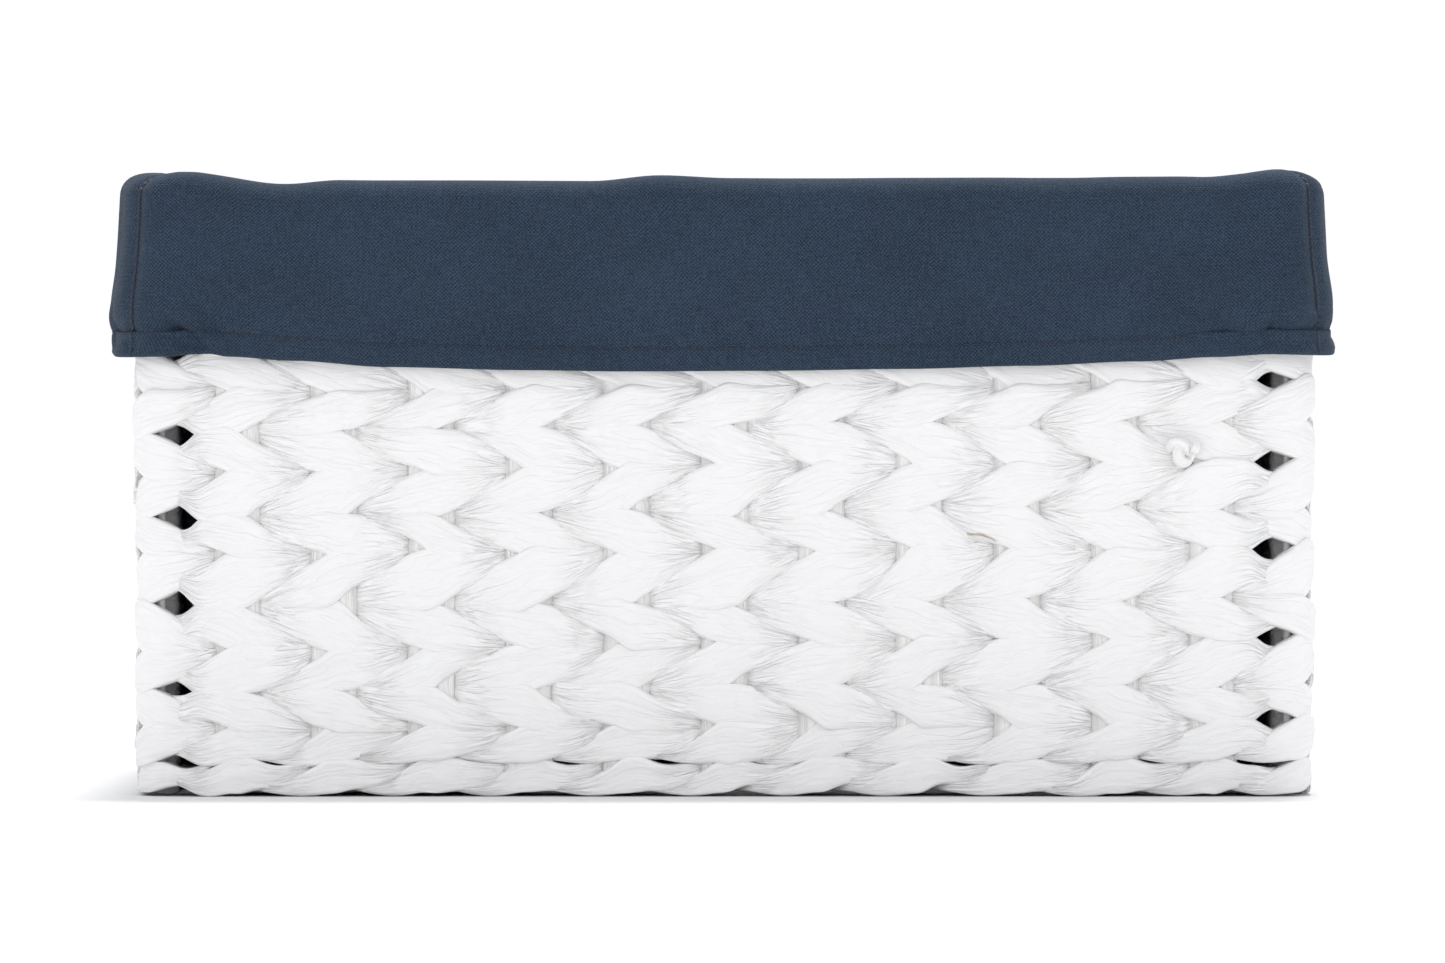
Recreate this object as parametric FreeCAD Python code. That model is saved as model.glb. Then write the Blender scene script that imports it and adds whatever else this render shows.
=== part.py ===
"""A woven paper-rope storage basket on a wire frame, with a lift-out fabric liner whose cuff folds over the rim.

Frame: origin at the centre of the footprint, on the floor. +Z up, +X along the long front wall, -Y is the front.

How it is built, from the inside out:
- a welded wire frame: a base ring, a rim ring and four corner posts;
- flat paper stakes, each rolled into an eye round the base ring and the rim ring;
- wall rows, each a pair of paper ropes that twine round the stakes and cross between them, rows leaning
  alternately one way and the other;
- a border pair round the base ring and another round the rim ring;
- a base of flat stakes between the front and back of the base ring, with rope pairs twined across them;
- a liner of four wall panels and a bottom panel, sewn at the corners; each wall panel goes up the inside, over
  the rim and down the outside as a cuff, and ends in a hem.
"""

import FreeCAD, Part
import math
import os
from FreeCAD import Vector

# Driving dimensions, in millimetres.
STAKE_PITCH = 31.3
STAKES_ON_FRONT = 11
STAKES_ON_SIDE = 8
CORNER_TO_STAKE = 26.3
ROW_PITCH = 13.3
WALL_ROWS = 13
GAP = 0.3  # left between ropes and what they pass round

STAKE_WIDTH = 12.5
STAKE_THICKNESS = 2.0
RING_WIRE_RADIUS = 1.0
EYE_WALL = 0.55
EYE_CLEARANCE = 0.05
RING_CORNER_RADIUS = 6.0
POST_RADIUS = 1.5

WALL_ROPE_RADIUS = 2.9
BASE_BORDER_ROPE_RADIUS = 1.6
RIM_BORDER_ROPE_RADIUS = 2.1
FOOT_FLAT = 0.35  # the base border is pressed flat by this much where it stands

BASE_STAKE_WIDTH = 11.0
BASE_STAKE_THICKNESS = 1.6
BASE_ROPE_RADIUS = 1.75
BASE_ROWS = 20
BASE_ROW_HALF_HEIGHT = 4.2  # centre of a rope above or below its row's line where the pair crosses

STATION_HALF_LENGTH = 7.5  # half of a rope's straight run across a stake
ROPE_BEND_RADIUS = 7.0
OUTER_CORNER_RUN = 8.0
INNER_CORNER_RUN = 5.0
INNER_CORNER_RADIUS = 4.0
ROPE_END_GAP = 0.5  # half of the gap between a rope's two tucked ends

FABRIC = 0.8
LINER_CLEARANCE = 1.2
CUFF_CLEARANCE = 3.0
CUFF_DROP = 59.5  # from the top of the rim fold to the bottom of the hem
HEM_HEIGHT = 8.0

# Worked out from them.
HALF_X = (STAKES_ON_FRONT - 1) * STAKE_PITCH / 2 + CORNER_TO_STAKE
HALF_Y = (STAKES_ON_SIDE - 1) * STAKE_PITCH / 2 + CORNER_TO_STAKE
EYE_INNER_RADIUS = RING_WIRE_RADIUS + EYE_CLEARANCE
EYE_OUTER_RADIUS = EYE_INNER_RADIUS + EYE_WALL

WALL_ROPE_OFFSET = STAKE_THICKNESS / 2 + GAP + WALL_ROPE_RADIUS
WALL_ROPE_RISE = WALL_ROPE_RADIUS + GAP
BASE_BORDER_OFFSET = EYE_OUTER_RADIUS + GAP + BASE_BORDER_ROPE_RADIUS
RIM_BORDER_OFFSET = EYE_OUTER_RADIUS + GAP + RIM_BORDER_ROPE_RADIUS
BASE_ROPE_OFFSET = BASE_STAKE_THICKNESS / 2 + GAP + BASE_ROPE_RADIUS

BASE_RING_Z = BASE_BORDER_OFFSET + BASE_BORDER_ROPE_RADIUS - FOOT_FLAT
WALL_BOTTOM_Z = BASE_RING_Z + BASE_BORDER_OFFSET + BASE_BORDER_ROPE_RADIUS + GAP
WALL_TOP_Z = WALL_BOTTOM_Z + WALL_ROWS * ROW_PITCH
RIM_RING_Z = WALL_TOP_Z + RIM_BORDER_OFFSET + RIM_BORDER_ROPE_RADIUS
RIM_TOP_Z = RIM_RING_Z + RIM_BORDER_OFFSET + RIM_BORDER_ROPE_RADIUS
BASE_TOP_Z = BASE_RING_Z + BASE_ROPE_OFFSET + BASE_ROPE_RADIUS
WALL_FACE = WALL_ROPE_OFFSET + WALL_ROPE_RADIUS  # how far the ropes stand out from a wall's middle plane

UP = Vector(0, 0, 1)

# The walls in order, anticlockwise from above: first corner, direction along the wall, outward normal, stakes.
WALLS = [
    (Vector(-HALF_X, -HALF_Y, 0), Vector(1, 0, 0), Vector(0, -1, 0), STAKES_ON_FRONT),
    (Vector(HALF_X, -HALF_Y, 0), Vector(0, 1, 0), Vector(1, 0, 0), STAKES_ON_SIDE),
    (Vector(HALF_X, HALF_Y, 0), Vector(-1, 0, 0), Vector(0, 1, 0), STAKES_ON_FRONT),
    (Vector(-HALF_X, HALF_Y, 0), Vector(0, -1, 0), Vector(-1, 0, 0), STAKES_ON_SIDE),
]
WALL_NAMES = ["front", "right", "back", "left"]


def save(name, shape):
    """Writes one sub-part's STEP file."""
    shape.exportStep(f"parts/{name}.step")


def along_run(start, end, share):
    return start + (end - start) * share


def rounded_path(points, radii):
    """A wire through the points, straight between them and rounded at each by an arc tangent to both runs."""
    edges = []
    here = points[0]
    for before, corner, after, radius in zip(points, points[1:], points[2:], radii):
        run_in = corner - before
        run_out = after - corner
        turn = run_in.getAngle(run_out)
        shorter = min(run_in.Length, run_out.Length)
        cut = min(radius * math.tan(turn / 2), 0.46 * shorter)
        bend = cut / math.tan(turn / 2)
        run_in.normalize()
        run_out.normalize()
        inward = (run_out - run_in).normalize()
        arc_start = corner - run_in * cut
        arc_end = corner + run_out * cut
        arc_middle = corner + inward * (bend / math.cos(turn / 2) - bend)
        edges.append(Part.LineSegment(here, arc_start).toShape())
        edges.append(Part.Arc(arc_start, arc_middle, arc_end).toShape())
        here = arc_end
    edges.append(Part.LineSegment(here, points[-1]).toShape())
    return Part.Wire(edges)


def tube(points, radii, radius):
    """A round rope of that radius along a rounded path."""
    path = rounded_path(points, radii)
    section = Part.Wire(Part.Circle(points[0], points[1] - points[0], radius).toShape())
    rope = path.makePipe(Part.Face(section))
    expected = math.pi * radius**2 * path.Length
    if abs(rope.Volume / expected - 1) > 0.01:
        raise ValueError(f"a rope's volume is {rope.Volume:.0f}, not {expected:.0f} cubic millimetres")
    return rope


def stations():
    """What the wall ropes pass, in order round the basket: each corner, then that wall's stakes."""
    found = []
    for index, (corner, along, outward, stakes) in enumerate(WALLS):
        found.append({"corner": corner, "wall": index, "along": along, "outward": outward})
        for n in range(stakes):
            middle = corner + along * (CORNER_TO_STAKE + n * STAKE_PITCH)
            found.append({"stake": middle, "wall": index, "along": along, "outward": outward})
    return found


def ring_rope(centre_z, offset, rise, radius, lean, first_outside):
    """One of a pair of ropes twined round the basket: outside one stake, inside the next.

    It stands offset from the wall's middle plane, and rise above or below the row's line where the pair
    crosses. lean is 1 for a row whose outer stitches rise to the right and -1 for one whose stitches fall.
    """
    places = stations()
    level = UP * centre_z
    points, radii, starts = [], [], []
    for n, place in enumerate(places):
        side = 1 if (n % 2 == 0) == first_outside else -1
        lift = UP * (side * lean * rise)
        if "corner" in place:
            before = WALLS[place["wall"] - 1]
            outward = before[2] + place["outward"]
            run = OUTER_CORNER_RUN if side > 0 else INNER_CORNER_RUN
            bend = ROPE_BEND_RADIUS if side > 0 else INNER_CORNER_RADIUS
            turn = place["corner"] + level + outward * (side * offset)
            points += [turn - before[1] * run - lift, turn, turn + place["along"] * run + lift]
            radii += [ROPE_BEND_RADIUS, bend, ROPE_BEND_RADIUS]
        else:
            middle = place["stake"] + level + place["outward"] * (side * offset)
            reach = place["along"] * STATION_HALF_LENGTH
            if side < 0 and WALL_NAMES[place["wall"]] == "back":
                starts.append(len(points))
            points += [middle - reach - lift, middle + reach + lift]
            radii += [ROPE_BEND_RADIUS, ROPE_BEND_RADIUS]
    # The rope's two ends meet on the inside of a back stake, where they are tucked in.
    cut = starts[0]
    tuck = along_run(points[cut], points[cut + 1], 0.5)
    clear = (points[cut + 1] - points[cut]).normalize() * ROPE_END_GAP
    route = [tuck + clear] + points[cut + 1 :] + points[: cut + 1] + [tuck - clear]
    return tube(route, radii[cut + 1 :] + radii[: cut + 1], radius)


def wall_rows():
    for row in range(WALL_ROWS):
        centre_z = WALL_BOTTOM_Z + (row + 0.5) * ROW_PITCH
        lean = 1 if row % 2 == 0 else -1
        for letter, first_outside in (("a", True), ("b", False)):
            rope = ring_rope(
                centre_z, WALL_ROPE_OFFSET, WALL_ROPE_RISE, WALL_ROPE_RADIUS, lean, first_outside
            )
            save(f"wall_row_{row + 1:02d}_rope_{letter}", rope)


def borders():
    """The rope pairs round the base ring and the rim ring. The base pair is flat where it meets the floor."""
    below_floor = Part.makeBox(4 * HALF_X, 4 * HALF_Y, 20, Vector(-2 * HALF_X, -2 * HALF_Y, -20))
    for letter, first_outside in (("a", True), ("b", False)):
        base = ring_rope(
            BASE_RING_Z,
            BASE_BORDER_OFFSET,
            BASE_BORDER_OFFSET,
            BASE_BORDER_ROPE_RADIUS,
            1,
            first_outside,
        )
        standing = max(base.cut(below_floor).Solids, key=lambda solid: solid.Volume)
        save(f"base_border_rope_{letter}", standing)
        rim = ring_rope(
            RIM_RING_Z,
            RIM_BORDER_OFFSET,
            RIM_BORDER_OFFSET,
            RIM_BORDER_ROPE_RADIUS,
            -1,
            first_outside,
        )
        save(f"rim_border_rope_{letter}", rim)


def wire_ring(centre_z):
    """A welded ring of round wire with rounded corners, round the middle planes of the walls."""
    sides, bends = [], []
    for index, (corner, along, outward, _) in enumerate(WALLS):
        length = 2 * (HALF_Y if index % 2 else HALF_X)
        straight = length - 2 * RING_CORNER_RADIUS
        start = corner + along * RING_CORNER_RADIUS + UP * centre_z
        sides.append(Part.makeCylinder(RING_WIRE_RADIUS, straight, start, along))
        pivot = start - outward * RING_CORNER_RADIUS
        section = Part.Face(Part.Wire(Part.Circle(start, along, RING_WIRE_RADIUS).toShape()))
        bends.append(section.revolve(pivot, UP, -90))
    return sides[0].multiFuse(sides[1:] + bends).removeSplitter()


def wire_frame():
    base_ring = wire_ring(BASE_RING_Z)
    rim_ring = wire_ring(RIM_RING_Z)
    save("base_ring_wire", base_ring)
    save("rim_ring_wire", rim_ring)
    inset = RING_CORNER_RADIUS * (1 - math.sqrt(0.5))
    names = ["front_left", "front_right", "back_right", "back_left"]
    for name, (corner, along, outward, _) in zip(names, WALLS):
        foot = corner + (along - outward) * inset + UP * BASE_RING_Z
        post = Part.makeCylinder(POST_RADIUS, RIM_RING_Z - BASE_RING_Z, foot, UP)
        # Each end is cut to the round of the ring that it is welded to, and keeps only the length between them.
        post = post.cut(base_ring).cut(rim_ring)
        save(f"corner_post_{name}", max(post.Solids, key=lambda solid: solid.Volume))


def strip_with_eyes(start, end, across, width, thickness):
    """A flat strip from one ring wire to another, with an eye rolled round each wire. across is the wires' way."""
    run = (end - start).normalize()
    face = run.cross(across)
    corner = start - across * (width / 2) - face * (thickness / 2)
    outline = [corner, corner + across * width]
    outline += [outline[1] + face * thickness, corner + face * thickness, corner]
    strip = Part.Face(Part.makePolygon(outline)).extrude(end - start)
    eyes = [
        Part.makeCylinder(EYE_OUTER_RADIUS, width, wire - across * (width / 2), across)
        for wire in (start, end)
    ]
    holes = [
        Part.makeCylinder(EYE_INNER_RADIUS, width, wire - across * (width / 2), across)
        for wire in (start, end)
    ]
    return strip.multiFuse(eyes).cut(Part.makeCompound(holes)).removeSplitter()


def wall_stakes():
    stakes = {name: [] for name in WALL_NAMES}
    for place in stations():
        if "stake" in place:
            bottom = place["stake"] + UP * BASE_RING_Z
            top = place["stake"] + UP * RIM_RING_Z
            stake = strip_with_eyes(bottom, top, place["along"], STAKE_WIDTH, STAKE_THICKNESS)
            stakes[WALL_NAMES[place["wall"]]].append(stake)
    for name, shapes in stakes.items():
        save(f"{name}_wall_stakes", Part.makeCompound(shapes))


def base_stake_places():
    """The base stakes stand midway between the front wall's stakes, so that both can hold the same wire."""
    return [(n - (STAKES_ON_FRONT - 2) / 2) * STAKE_PITCH for n in range(STAKES_ON_FRONT - 1)]


def base_stakes():
    shapes = []
    for x in base_stake_places():
        front = Vector(x, -HALF_Y, BASE_RING_Z)
        back = Vector(x, HALF_Y, BASE_RING_Z)
        along_wire = Vector(1, 0, 0)
        shapes.append(strip_with_eyes(front, back, along_wire, BASE_STAKE_WIDTH, BASE_STAKE_THICKNESS))
    save("base_stakes", Part.makeCompound(shapes))


def base_rows():
    """Rope pairs twined across the base stakes, from the left of the base ring to its right."""
    clear = BASE_BORDER_OFFSET + BASE_BORDER_ROPE_RADIUS + 2 * GAP
    reach_x = HALF_X - clear
    last_row = HALF_Y - clear - BASE_ROW_HALF_HEIGHT - BASE_ROPE_RADIUS
    row_pitch = 2 * last_row / (BASE_ROWS - 1)
    places = base_stake_places()
    ropes = []
    for row in range(BASE_ROWS):
        y = -last_row + row * row_pitch
        lean = 1 if row % 2 == 0 else -1
        for phase in (1, -1):
            first_shift = -phase * lean * BASE_ROW_HALF_HEIGHT
            points = [Vector(-reach_x, y + first_shift, BASE_RING_Z - phase * BASE_ROPE_OFFSET)]
            for n, x in enumerate(places):
                side = phase if n % 2 == 0 else -phase
                shift = side * lean * BASE_ROW_HALF_HEIGHT
                z = BASE_RING_Z + side * BASE_ROPE_OFFSET
                points.append(Vector(x - STATION_HALF_LENGTH, y - shift, z))
                points.append(Vector(x + STATION_HALF_LENGTH, y + shift, z))
            points.append(Vector(reach_x, y + shift, BASE_RING_Z - side * BASE_ROPE_OFFSET))
            ropes.append(tube(points, [ROPE_BEND_RADIUS] * (len(points) - 2), BASE_ROPE_RADIUS))
    save("base_weave_ropes", Part.makeCompound(ropes))


def liner_panel(index, bottom_z, top_z):
    """One wall's fabric: up the inside, over the rim, down the outside, with the hem turned up behind the cuff."""
    corner, along, outward, _ = WALLS[index]
    inner = -(WALL_FACE + LINER_CLEARANCE)
    cuff = WALL_FACE + CUFF_CLEARANCE
    hem_z = top_z - CUFF_DROP
    profile = [
        (inner, bottom_z),
        (inner, top_z - FABRIC),
        (cuff, top_z - FABRIC),
        (cuff, hem_z + HEM_HEIGHT),
        (cuff - FABRIC, hem_z + HEM_HEIGHT),
        (cuff - FABRIC, hem_z),
        (cuff + FABRIC, hem_z),
        (cuff + FABRIC, top_z),
        (inner - FABRIC, top_z),
        (inner - FABRIC, bottom_z),
    ]
    length = 2 * (HALF_Y if index % 2 else HALF_X)
    beyond = cuff + 2 * FABRIC
    first = corner - along * beyond
    points = [first + outward * out + UP * z for out, z in profile]
    sheet = Part.Face(Part.makePolygon(points + points[:1])).extrude(along * (length + 2 * beyond))
    # The mitres at the corner seams run at 45 degrees from the wall's inside out through each corner.
    deep = min(HALF_X, HALF_Y) / 2
    mitre = [
        corner + along * deep - outward * deep,
        corner + (outward - along) * (2 * beyond),
        corner + along * (length + 2 * beyond) + outward * (2 * beyond),
        corner + along * (length - deep) - outward * deep,
    ]
    keep = Part.Face(Part.makePolygon(mitre + mitre[:1])).extrude(UP * (2 * top_z))
    return sheet.common(keep)


def liner():
    bottom_z = BASE_TOP_Z + LINER_CLEARANCE
    top_z = RIM_TOP_Z + LINER_CLEARANCE + FABRIC
    inset = WALL_FACE + LINER_CLEARANCE
    half_x = HALF_X - inset
    half_y = HALF_Y - inset
    bottom = Part.makeBox(2 * half_x, 2 * half_y, FABRIC, Vector(-half_x, -half_y, bottom_z))
    save("liner_bottom_panel", bottom)
    for index, name in enumerate(WALL_NAMES):
        save(f"liner_{name}_panel", liner_panel(index, bottom_z + FABRIC, top_z))


os.makedirs("parts", exist_ok=True)
wire_frame()
wall_stakes()
wall_rows()
borders()
base_stakes()
base_rows()
liner()
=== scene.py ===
"""Looks for the storage basket: twined white paper rope on a wire frame, and a navy fabric liner with a cuff.

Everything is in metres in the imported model's own frame: +X along the long front wall, -Y is the front, +Z up.
A place on the walls is given by its distance round the basket, anticlockwise from above and starting at the
front left corner, so that it runs from left to right as each wall is seen from outside.
"""

import math

import bpy
import numpy as np
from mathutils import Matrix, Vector


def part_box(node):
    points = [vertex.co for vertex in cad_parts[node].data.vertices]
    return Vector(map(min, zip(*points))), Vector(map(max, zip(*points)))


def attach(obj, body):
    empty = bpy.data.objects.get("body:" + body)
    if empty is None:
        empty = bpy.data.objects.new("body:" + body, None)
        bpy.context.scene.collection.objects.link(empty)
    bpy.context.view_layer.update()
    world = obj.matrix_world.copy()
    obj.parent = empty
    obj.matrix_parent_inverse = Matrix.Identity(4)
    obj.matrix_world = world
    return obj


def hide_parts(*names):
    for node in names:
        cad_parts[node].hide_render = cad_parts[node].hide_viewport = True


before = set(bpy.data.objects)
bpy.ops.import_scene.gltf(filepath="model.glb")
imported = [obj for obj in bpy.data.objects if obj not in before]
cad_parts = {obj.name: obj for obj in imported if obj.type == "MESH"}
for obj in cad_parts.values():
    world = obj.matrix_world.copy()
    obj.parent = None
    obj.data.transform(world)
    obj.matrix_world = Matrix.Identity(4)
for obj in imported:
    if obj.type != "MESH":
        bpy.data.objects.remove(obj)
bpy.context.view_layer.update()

MM = 0.001

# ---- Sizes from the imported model


def node_box(node):
    """A CAD node's lowest and highest corners."""
    low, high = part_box(node)
    return np.array(low), np.array(high)


def middle_z(node):
    low, high = node_box(node)
    return (low[2] + high[2]) / 2


ring_low, ring_high = node_box("rim_ring_wire")
WIRE_RADIUS = (ring_high[2] - ring_low[2]) / 2
HALF_X = ring_high[0] - WIRE_RADIUS  # from the centre to the middle plane of a side wall
HALF_Y = ring_high[1] - WIRE_RADIUS

STAKES_ON_FRONT = 11
STAKES_ON_SIDE = 8
STAKE_WIDTH = 12.5 * MM
stakes_low, stakes_high = node_box("front_wall_stakes")
STAKE_PITCH = (stakes_high[0] - stakes_low[0] - STAKE_WIDTH) / (STAKES_ON_FRONT - 1)
CORNER_TO_STAKE = HALF_X - (STAKES_ON_FRONT - 1) / 2 * STAKE_PITCH

WALL_ROWS = 13
FIRST_ROW_Z = middle_z("wall_row_01_rope_a")
ROW_PITCH = (middle_z(f"wall_row_{WALL_ROWS}_rope_a") - FIRST_ROW_Z) / (WALL_ROWS - 1)
WALL_BOTTOM_Z = FIRST_ROW_Z - ROW_PITCH / 2
RIM_TOP_Z = node_box("rim_border_rope_a")[1][2]
WALL_FACE = node_box("wall_row_01_rope_a")[1][0] - HALF_X  # how far the ropes stand out from the middle plane
LINER_BOTTOM_Z = node_box("liner_bottom_panel")[0][2]

# The walls in order: first corner, direction along the wall, outward normal, length, number of stakes.
CORNERS = np.array([(-HALF_X, -HALF_Y), (HALF_X, -HALF_Y), (HALF_X, HALF_Y), (-HALF_X, HALF_Y)])
ALONG = np.array([(1.0, 0.0), (0.0, 1.0), (-1.0, 0.0), (0.0, -1.0)])
OUTWARD = np.array([(0.0, -1.0), (1.0, 0.0), (0.0, 1.0), (-1.0, 0.0)])
LENGTHS = np.array([2 * HALF_X, 2 * HALF_Y, 2 * HALF_X, 2 * HALF_Y])
STARTS = np.concatenate([[0.0], np.cumsum(LENGTHS)[:-1]])
STAKES = [STAKES_ON_FRONT, STAKES_ON_SIDE, STAKES_ON_FRONT, STAKES_ON_SIDE]
WALL_NAMES = ["front", "right", "back", "left"]
ROUND_LENGTH = LENGTHS.sum()
UP = np.array([0.0, 0.0, 1.0])


def plan(distance, out, corner_radius):
    """Points and outward normals, in 3-D at z = 0, of a line that runs round the basket.

    distance is measured along the walls' middle planes as if their corners were square. out is how far the
    line stands outside those planes, and corner_radius rounds their corners. Each is a number or an array.
    """
    distance, out, radius = np.broadcast_arrays(np.mod(distance, ROUND_LENGTH), out, corner_radius)
    wall = np.searchsorted(STARTS, distance, side="right") - 1
    here = distance - STARTS[wall]
    along, outward = ALONG[wall], OUTWARD[wall]
    beside_last = here > LENGTHS[wall] / 2
    from_corner = np.where(beside_last, LENGTHS[wall] - here, here)
    way = np.where(beside_last, 1.0, -1.0)[..., None] * along
    lean = (np.clip(1 - from_corner / radius, 0, 1) * math.pi / 4)[..., None]
    normal = outward * np.cos(lean) + way * np.sin(lean)
    radius = radius[..., None]
    end = CORNERS[wall] + along * np.where(beside_last, LENGTHS[wall], 0.0)[..., None]
    arc = end - (outward + way) * radius + normal * radius
    straight = CORNERS[wall] + along * here[..., None]
    point = np.where(from_corner[..., None] < radius, arc, straight) + normal * out[..., None]
    flat = np.zeros(point.shape[:-1] + (1,))
    return np.concatenate([point, flat], -1), np.concatenate([normal, flat], -1)


def station_places():
    """Where the ropes pass something, by distance round the basket, and whether that is a corner post."""
    places, corners = [], []
    for start, count in zip(STARTS, STAKES):
        places.append(start)
        corners.append(True)
        for n in range(count):
            places.append(start + CORNER_TO_STAKE + n * STAKE_PITCH)
            corners.append(False)
    return np.array(places), np.array(corners)


STATIONS, AT_CORNER = station_places()
STATION_COUNT = len(STATIONS)


# ---- Meshes from grids of points


def smooth_step(x):
    """0 below 0, 1 above 1 and an even curve between them."""
    x = np.clip(x, 0, 1)
    return x * x * (3 - 2 * x)


def smooth_noise(rng, rows, columns, row_cells, column_cells, wrap=True):
    """Smooth noise from -1 to 1 on a grid, with that many cells each way; wrap joins its columns."""
    lattice = rng.uniform(-1, 1, (row_cells + 2, column_cells + 2))
    if wrap:
        lattice[:, column_cells] = lattice[:, 0]
    r = np.linspace(0, row_cells, rows)
    c = np.linspace(0, column_cells, columns, endpoint=not wrap)
    r0, c0 = np.floor(r).astype(int), np.floor(c).astype(int)
    fr, fc = smooth_step(r - r0)[:, None], smooth_step(c - c0)[None, :]
    low = lattice[r0][:, c0] * (1 - fc) + lattice[r0][:, c0 + 1] * fc
    high = lattice[r0 + 1][:, c0] * (1 - fc) + lattice[r0 + 1][:, c0 + 1] * fc
    return low * (1 - fr) + high * fr


def ring_noise(rng, count, cells):
    """Smooth noise from -1 to 1 along a closed line."""
    return smooth_noise(rng, 2, count, 1, cells)[0]


def soften(values, reach):
    """Values along a line, averaged with their neighbours up to that many places away."""
    kernel = np.hanning(2 * reach + 3)[1:-1]
    return np.convolve(np.pad(values, reach, mode="edge"), kernel / kernel.sum(), "valid")


def grid_faces(rows, columns, wrap, first=0):
    """Quads between neighbouring points of a grid; wrap also joins its last column to its first."""
    index = first + np.arange(rows * columns).reshape(rows, columns)
    right = np.roll(index, -1, axis=1) if wrap else index[:, 1:]
    left = index if wrap else index[:, :-1]
    return np.stack([left[:-1], right[:-1], right[1:], left[1:]], -1).reshape(-1, 4)


def grid_uv(u, v):
    """Each quad's four corner coordinates, from a grid of u and a grid of v."""
    pair = np.stack(np.broadcast_arrays(u, v), -1)
    return np.stack([pair[:-1, :-1], pair[:-1, 1:], pair[1:, 1:], pair[1:, :-1]], 2).reshape(-1, 4, 2)


def join_grids(parts):
    """One (points, faces, uv, gather) from several."""
    points, faces, uv, gather = [], [], [], []
    first = 0
    for part in parts:
        points.append(part[0].reshape(-1, 3))
        faces.append(part[1] + first)
        uv.append(part[2])
        gather.append(np.ravel(part[3]))
        first += len(points[-1])
    return np.concatenate(points), np.concatenate(faces), np.concatenate(uv), np.concatenate(gather)


def make_piece(name, points, faces, uv, material, gather=None):
    """A smooth mesh object from point and quad arrays, with its texture coordinates in metres.

    gather is how tightly the material is drawn together at each point, from 0 to 1, for its creases; the paper
    materials also scale the painted shade along the creases by it.
    """
    points, faces = points.reshape(-1, 3), np.asarray(faces)
    mesh = bpy.data.meshes.new(name)
    mesh.vertices.add(len(points))
    mesh.vertices.foreach_set("co", points.astype(np.float32).ravel())
    mesh.loops.add(faces.size)
    mesh.loops.foreach_set("vertex_index", faces.astype(np.int32).ravel())
    mesh.polygons.add(len(faces))
    mesh.polygons.foreach_set("loop_start", np.arange(0, faces.size, faces.shape[1], dtype=np.int32))
    mesh.update(calc_edges=True)
    mesh.validate()
    layer = mesh.uv_layers.new(name="UVMap")
    layer.data.foreach_set("uv", uv.astype(np.float32).ravel())
    if gather is not None:
        attribute = mesh.attributes.new("gather", "FLOAT", "POINT")
        attribute.data.foreach_set("value", np.ravel(gather).astype(np.float32))
    mesh.polygons.foreach_set("use_smooth", np.ones(len(mesh.polygons), bool))
    mesh.materials.append(material)
    piece = bpy.data.objects.new(name, mesh)
    bpy.context.scene.collection.objects.link(piece)
    return piece


# ---- Materials


class Recipe:
    """A material whose node tree is built one step at a time."""

    def __init__(self, name, **settings):
        self.material = bpy.data.materials.new(name)
        self.material.use_nodes = True
        self.tree = self.material.node_tree
        self.shader = self.tree.nodes["Principled BSDF"]
        for socket, value in settings.items():
            self.shader.inputs[socket.replace("_", " ")].default_value = value
        self.place = self.tree.nodes.new("ShaderNodeTexCoord")

    def step(self, kind, inputs, **settings):
        """Adds a node; inputs are values or other nodes' outputs, in the order of its sockets."""
        made = self.tree.nodes.new(kind)
        for key, value in settings.items():
            setattr(made, key, value)
        for socket, value in zip(made.inputs, inputs):
            if isinstance(value, bpy.types.NodeSocket):
                self.tree.links.new(value, socket)
            elif value is not None:
                socket.default_value = value
        return made

    def maths(self, operation, *inputs):
        return self.step("ShaderNodeMath", inputs, operation=operation).outputs[0]

    def noise(self, spacing, detail, coordinates="UV"):
        """Noise from 0 to 1 whose blobs are about that far apart along each axis, in metres."""
        scale = tuple(1 / distance if distance else 1.0 for distance in spacing)
        mapping = self.step("ShaderNodeMapping", [self.place.outputs[coordinates], None, None, scale])
        made = self.tree.nodes.new("ShaderNodeTexNoise")
        made.inputs["Scale"].default_value = 1.0
        made.inputs["Detail"].default_value = detail
        self.tree.links.new(mapping.outputs[0], made.inputs["Vector"])
        return made.outputs["Fac"]

    def lines(self, noise, width):
        """1 along the contours where a noise is half, falling to 0 that far on each side of them."""
        away = self.maths("ABSOLUTE", self.maths("SUBTRACT", noise, 0.5))
        return self.maths("SUBTRACT", 1.0, self.step("ShaderNodeMapRange", [away, 0.0, width]).outputs[0])

    def colour(self, amount, low, high, low_at=0.0, high_at=1.0):
        ramp = self.step("ShaderNodeValToRGB", [amount])
        for element, place, value in zip(ramp.color_ramp.elements, (low_at, high_at), (low, high)):
            element.position = place
            element.color = (*value, 1)
        self.tree.links.new(ramp.outputs["Color"], self.shader.inputs["Base Color"])

    def bump(self, height, distance):
        raised = self.tree.nodes.new("ShaderNodeBump")
        raised.inputs["Distance"].default_value = distance
        self.tree.links.new(height, raised.inputs["Height"])
        self.tree.links.new(raised.outputs["Normal"], self.shader.inputs["Normal"])


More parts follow.
